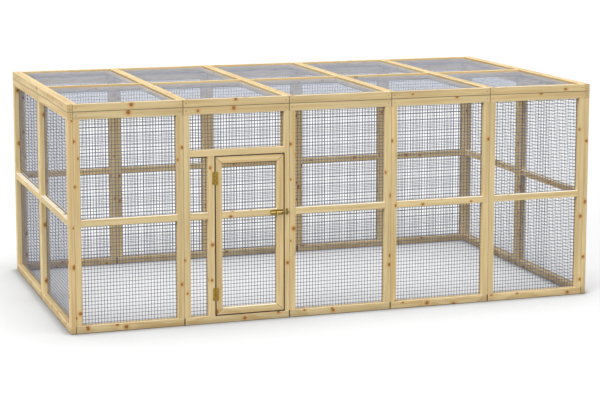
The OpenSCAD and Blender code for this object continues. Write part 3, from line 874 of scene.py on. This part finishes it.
# Arms of the cross as shares of the flat's radius, and how much the recess narrows
ARM, ARM_HALF = 0.58, 0.13
RECESS_FLOOR = 0.55
ROUND = 32
HEAD_EDGE_ANGLE = math.radians(25)

# Countersunk screws of the hinges and the bolt. Profiles list radius and depth from the flat.
screw_head_r = 0.004
screw_r = 0.002
screw_l = 0.024
screw_point_l = 0.004
screw_recess = 0.0011
one_screw = 2.1 * screw_head_r
countersunk = [(screw_r, screw_head_r - screw_r), (screw_r, screw_l - screw_point_l),
               (screw_r / 10, screw_l)]

# Round-headed screws that join the timbers, in the ends of the top rails and roof rails
joining_flat_r = 0.0024
joining_recess = 0.0008
joining_proud = 0.0009
joining_shoulder = (0.0034, 0.0003)
joining_head_r = 0.004
joining_l = 0.004
joining_in = 0.027
end_screw_in = 0.0245
end_screw_zs = (1.850, 1.811, 1.789)
rail_screw_zs = (wall_top - rail_h / 2, (wall_top + cad_high.z) / 2)
round_head = [joining_shoulder, (joining_head_r, joining_proud), (screw_r, joining_l)]


def loop_at(bm, outline, centre, scale, y):
    """Points of an outline in x and z, at depth y."""
    return [bm.verts.new((centre.x + scale * x, y, centre.z + scale * z)) for x, z in outline]


def bridge(bm, first, second):
    for i in range(len(first)):
        j = (i + 1) % len(first)
        bm.faces.new((first[i], first[j], second[j], second[i]))


def add_screw(bm, centre, flat_r, profile, recess):
    """One screw. flat_r is the radius of the head's flat, at depth 0 of centre, profile lists
    radius and depth from there on, and recess is the depth of the cross."""
    circle = [(math.cos(2 * math.pi * i / ROUND), math.sin(2 * math.pi * i / ROUND))
              for i in range(ROUND)]
    arm = [(ARM_HALF, ARM_HALF), (ARM_HALF, ARM), (-ARM_HALF, ARM)]
    cross = []
    for _ in range(4):
        cross += arm
        arm = [(-z, x) for x, z in arm]
    top = loop_at(bm, circle, centre, flat_r, centre.y)
    mouth = loop_at(bm, cross, centre, flat_r, centre.y)
    floor = loop_at(bm, cross, centre, flat_r * RECESS_FLOOR, centre.y + recess)
    rims = [bm.edges.new((ring[i - 1], ring[i])) for ring in (top, mouth)
            for i in range(len(ring))]
    bmesh.ops.triangle_fill(bm, use_beauty=True, edges=rims)
    bridge(bm, mouth, floor)
    bm.faces.new(floor)
    ring = top
    for radius, depth_in in profile:
        following = loop_at(bm, circle, centre, radius, centre.y + depth_in)
        bridge(bm, ring, following)
        ring = following
    bm.faces.new(ring)


def screws(name, places, flat_r, profile, recess, material, body):
    bm = bmesh.new()
    for place in places:
        add_screw(bm, place, flat_r, profile, recess)
    bmesh.ops.recalc_face_normals(bm, faces=bm.faces)
    mesh = bpy.data.meshes.new(name)
    bm.to_mesh(mesh)
    bm.free()
    mesh.materials.append(material)
    mesh.shade_smooth()
    mesh.set_sharp_from_angle(angle=HEAD_EDGE_ANGLE)
    made = bpy.data.objects.new(name, mesh)
    bpy.context.scene.collection.objects.link(made)
    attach(made, body)
    return made


def screw_places(node):
    """Middles of the heads of a node's screws, from its mesh."""
    groups = []
    for vertex in frame["nodes"][node].data.vertices:
        at = vertex.co
        for group in groups:
            if math.hypot(at.x - group[0].x, at.z - group[0].z) < one_screw:
                group.append(at)
                break
        else:
            groups.append([at])
    return [Vector(((min(p.x for p in group) + max(p.x for p in group)) / 2,
                    min(p.y for p in group),
                    (min(p.z for p in group) + max(p.z for p in group)) / 2))
            for group in groups]


for part, body in (("frame", "aviary"), ("door", "door")):
    node = f"{part}_hardware_screws"
    made = screws(f"{part}_cross_screws", screw_places(node), screw_head_r, countersunk,
                  screw_recess, brass_screw, body)
    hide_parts(node)

places = []
for number in range(panel_count):
    for x in (joining_in, panel_w - joining_in):
        places += [Vector((wall_left + number * panel_w + x, front_y - joining_proud, z))
                   for z in rail_screw_zs]
for x in (cad_low.x + end_screw_in, cad_high.x - end_screw_in):
    places += [Vector((x, front_y - joining_proud, z)) for z in end_screw_zs]
screws("joining_screws", places, joining_flat_r, round_head, joining_recess,
               assembly_screw, "aviary")


# Floor, lights and camera

floor_half = 150.0
floor_tones = ((0.24, 0.24, 0.24, 1.0), (0.26, 0.26, 0.26, 1.0))
floor_cloud = (0.3, 0.3, 0.3)
floor_glow = 0.66
broad_shadow_reach, broad_shadow_power = 1.0, 1.2
near_shadow_reach, near_shadow_power = 0.08, 1.8
white = (1.0, 1.0, 1.0, 1.0)
world_light = 0.58
sun_angle = math.radians(45)
sun_distance = 10


def shown_rays(g):
    """1 on the rays that show a surface to the camera, straight or by a reflection."""
    rays = g.node("LightPath").outputs
    return g.most(rays["Is Camera Ray"], rays["Is Glossy Ray"], rays["Is Transmission Ray"])


def open_sky(g, reach, power):
    sky = g.node("AmbientOcclusion", {"Distance": reach}, samples=8).outputs["AO"]
    return g.math("POWER", sky, power)


def make_floor():
    """Wide pale floor. To the camera it glows up to white, with a painted soft shadow where
    ambient occlusion finds the aviary, and its diffuse part keeps the cast shadow.
    """
    made, g = new_material("pale_floor")
    place = g.node("TexCoord").outputs["Object"]
    colour = g.mix(g.noise(g.scale(place, floor_cloud))[0], *floor_tones)
    diffuse = g.node("BsdfDiffuse", {"Color": colour, "Roughness": 0.5})
    # Painted shadow: ambient occlusion dims the glow round and under the aviary
    contact = g.times(open_sky(g, broad_shadow_reach, broad_shadow_power),
                      open_sky(g, near_shadow_reach, near_shadow_power))
    glow = g.node("Emission", {"Color": white, "Strength": g.times(
        shown_rays(g), contact, floor_glow)})
    both = g.node("AddShader")
    g.put(both.inputs[0], diffuse.outputs[0])
    g.put(both.inputs[1], glow.outputs[0])
    finish_material(g, both.outputs[0])
    half = floor_half
    mesh = bpy.data.meshes.new("floor")
    mesh.from_pydata([(-half, -half, 0), (half, -half, 0), (half, half, 0), (-half, half, 0)],
                     [], [(0, 1, 2, 3)])
    mesh.materials.append(made)
    floor = bpy.data.objects.new("floor", mesh)
    bpy.context.scene.collection.objects.link(floor)


def make_world():
    """Even light from all sides, and white wherever the camera looks past the floor."""
    world = bpy.data.worlds.new("studio")
    bpy.context.scene.world = world
    world.use_nodes = True
    world.node_tree.nodes.clear()
    g = Graph(world.node_tree)
    strength = g.mix(shown_rays(g), world_light, 1.0, "FLOAT")
    background = g.node("Background", {"Color": white, "Strength": strength})
    g.put(g.node("OutputWorld").inputs["Surface"], background.outputs[0])


def sun(name, height, turn, strength):
    """Soft sun lamp. height is above the horizon, and turn goes from the front to the right."""
    data = bpy.data.lights.new(name, "SUN")
    data.energy = strength
    data.angle = sun_angle
    light = bpy.data.objects.new(name, data)
    bpy.context.scene.collection.objects.link(light)
    up, round_by = math.radians(height), math.radians(turn)
    source = Vector((math.sin(round_by) * math.cos(up), -math.cos(round_by) * math.cos(up),
                     math.sin(up)))
    light.location = sun_distance * source
    light.rotation_euler = (-source).to_track_quat("-Z", "Y").to_euler()


make_floor()
make_world()
sun("top_sun", height=75.0, turn=20.0, strength=1.9)
sun("side_sun", height=25.0, turn=-60.0, strength=2.25)

camera_data = bpy.data.cameras.new("camera")
camera = bpy.data.objects.new("camera", camera_data)
bpy.context.scene.collection.objects.link(camera)
camera_data.sensor_width = 36.0
camera_data.lens = 107.672
camera_data.shift_y = -0.1
camera_data.clip_end = 500.0
camera_yaw = math.radians(18.456)
camera_pitch = math.radians(8.274)
camera.location = (-5.0722, -15.4076, 3.6787)
camera.rotation_euler = (math.pi / 2 - camera_pitch, 0.0, -camera_yaw)
bpy.context.scene.camera = camera

bpy.context.scene.view_settings.view_transform = "Standard"
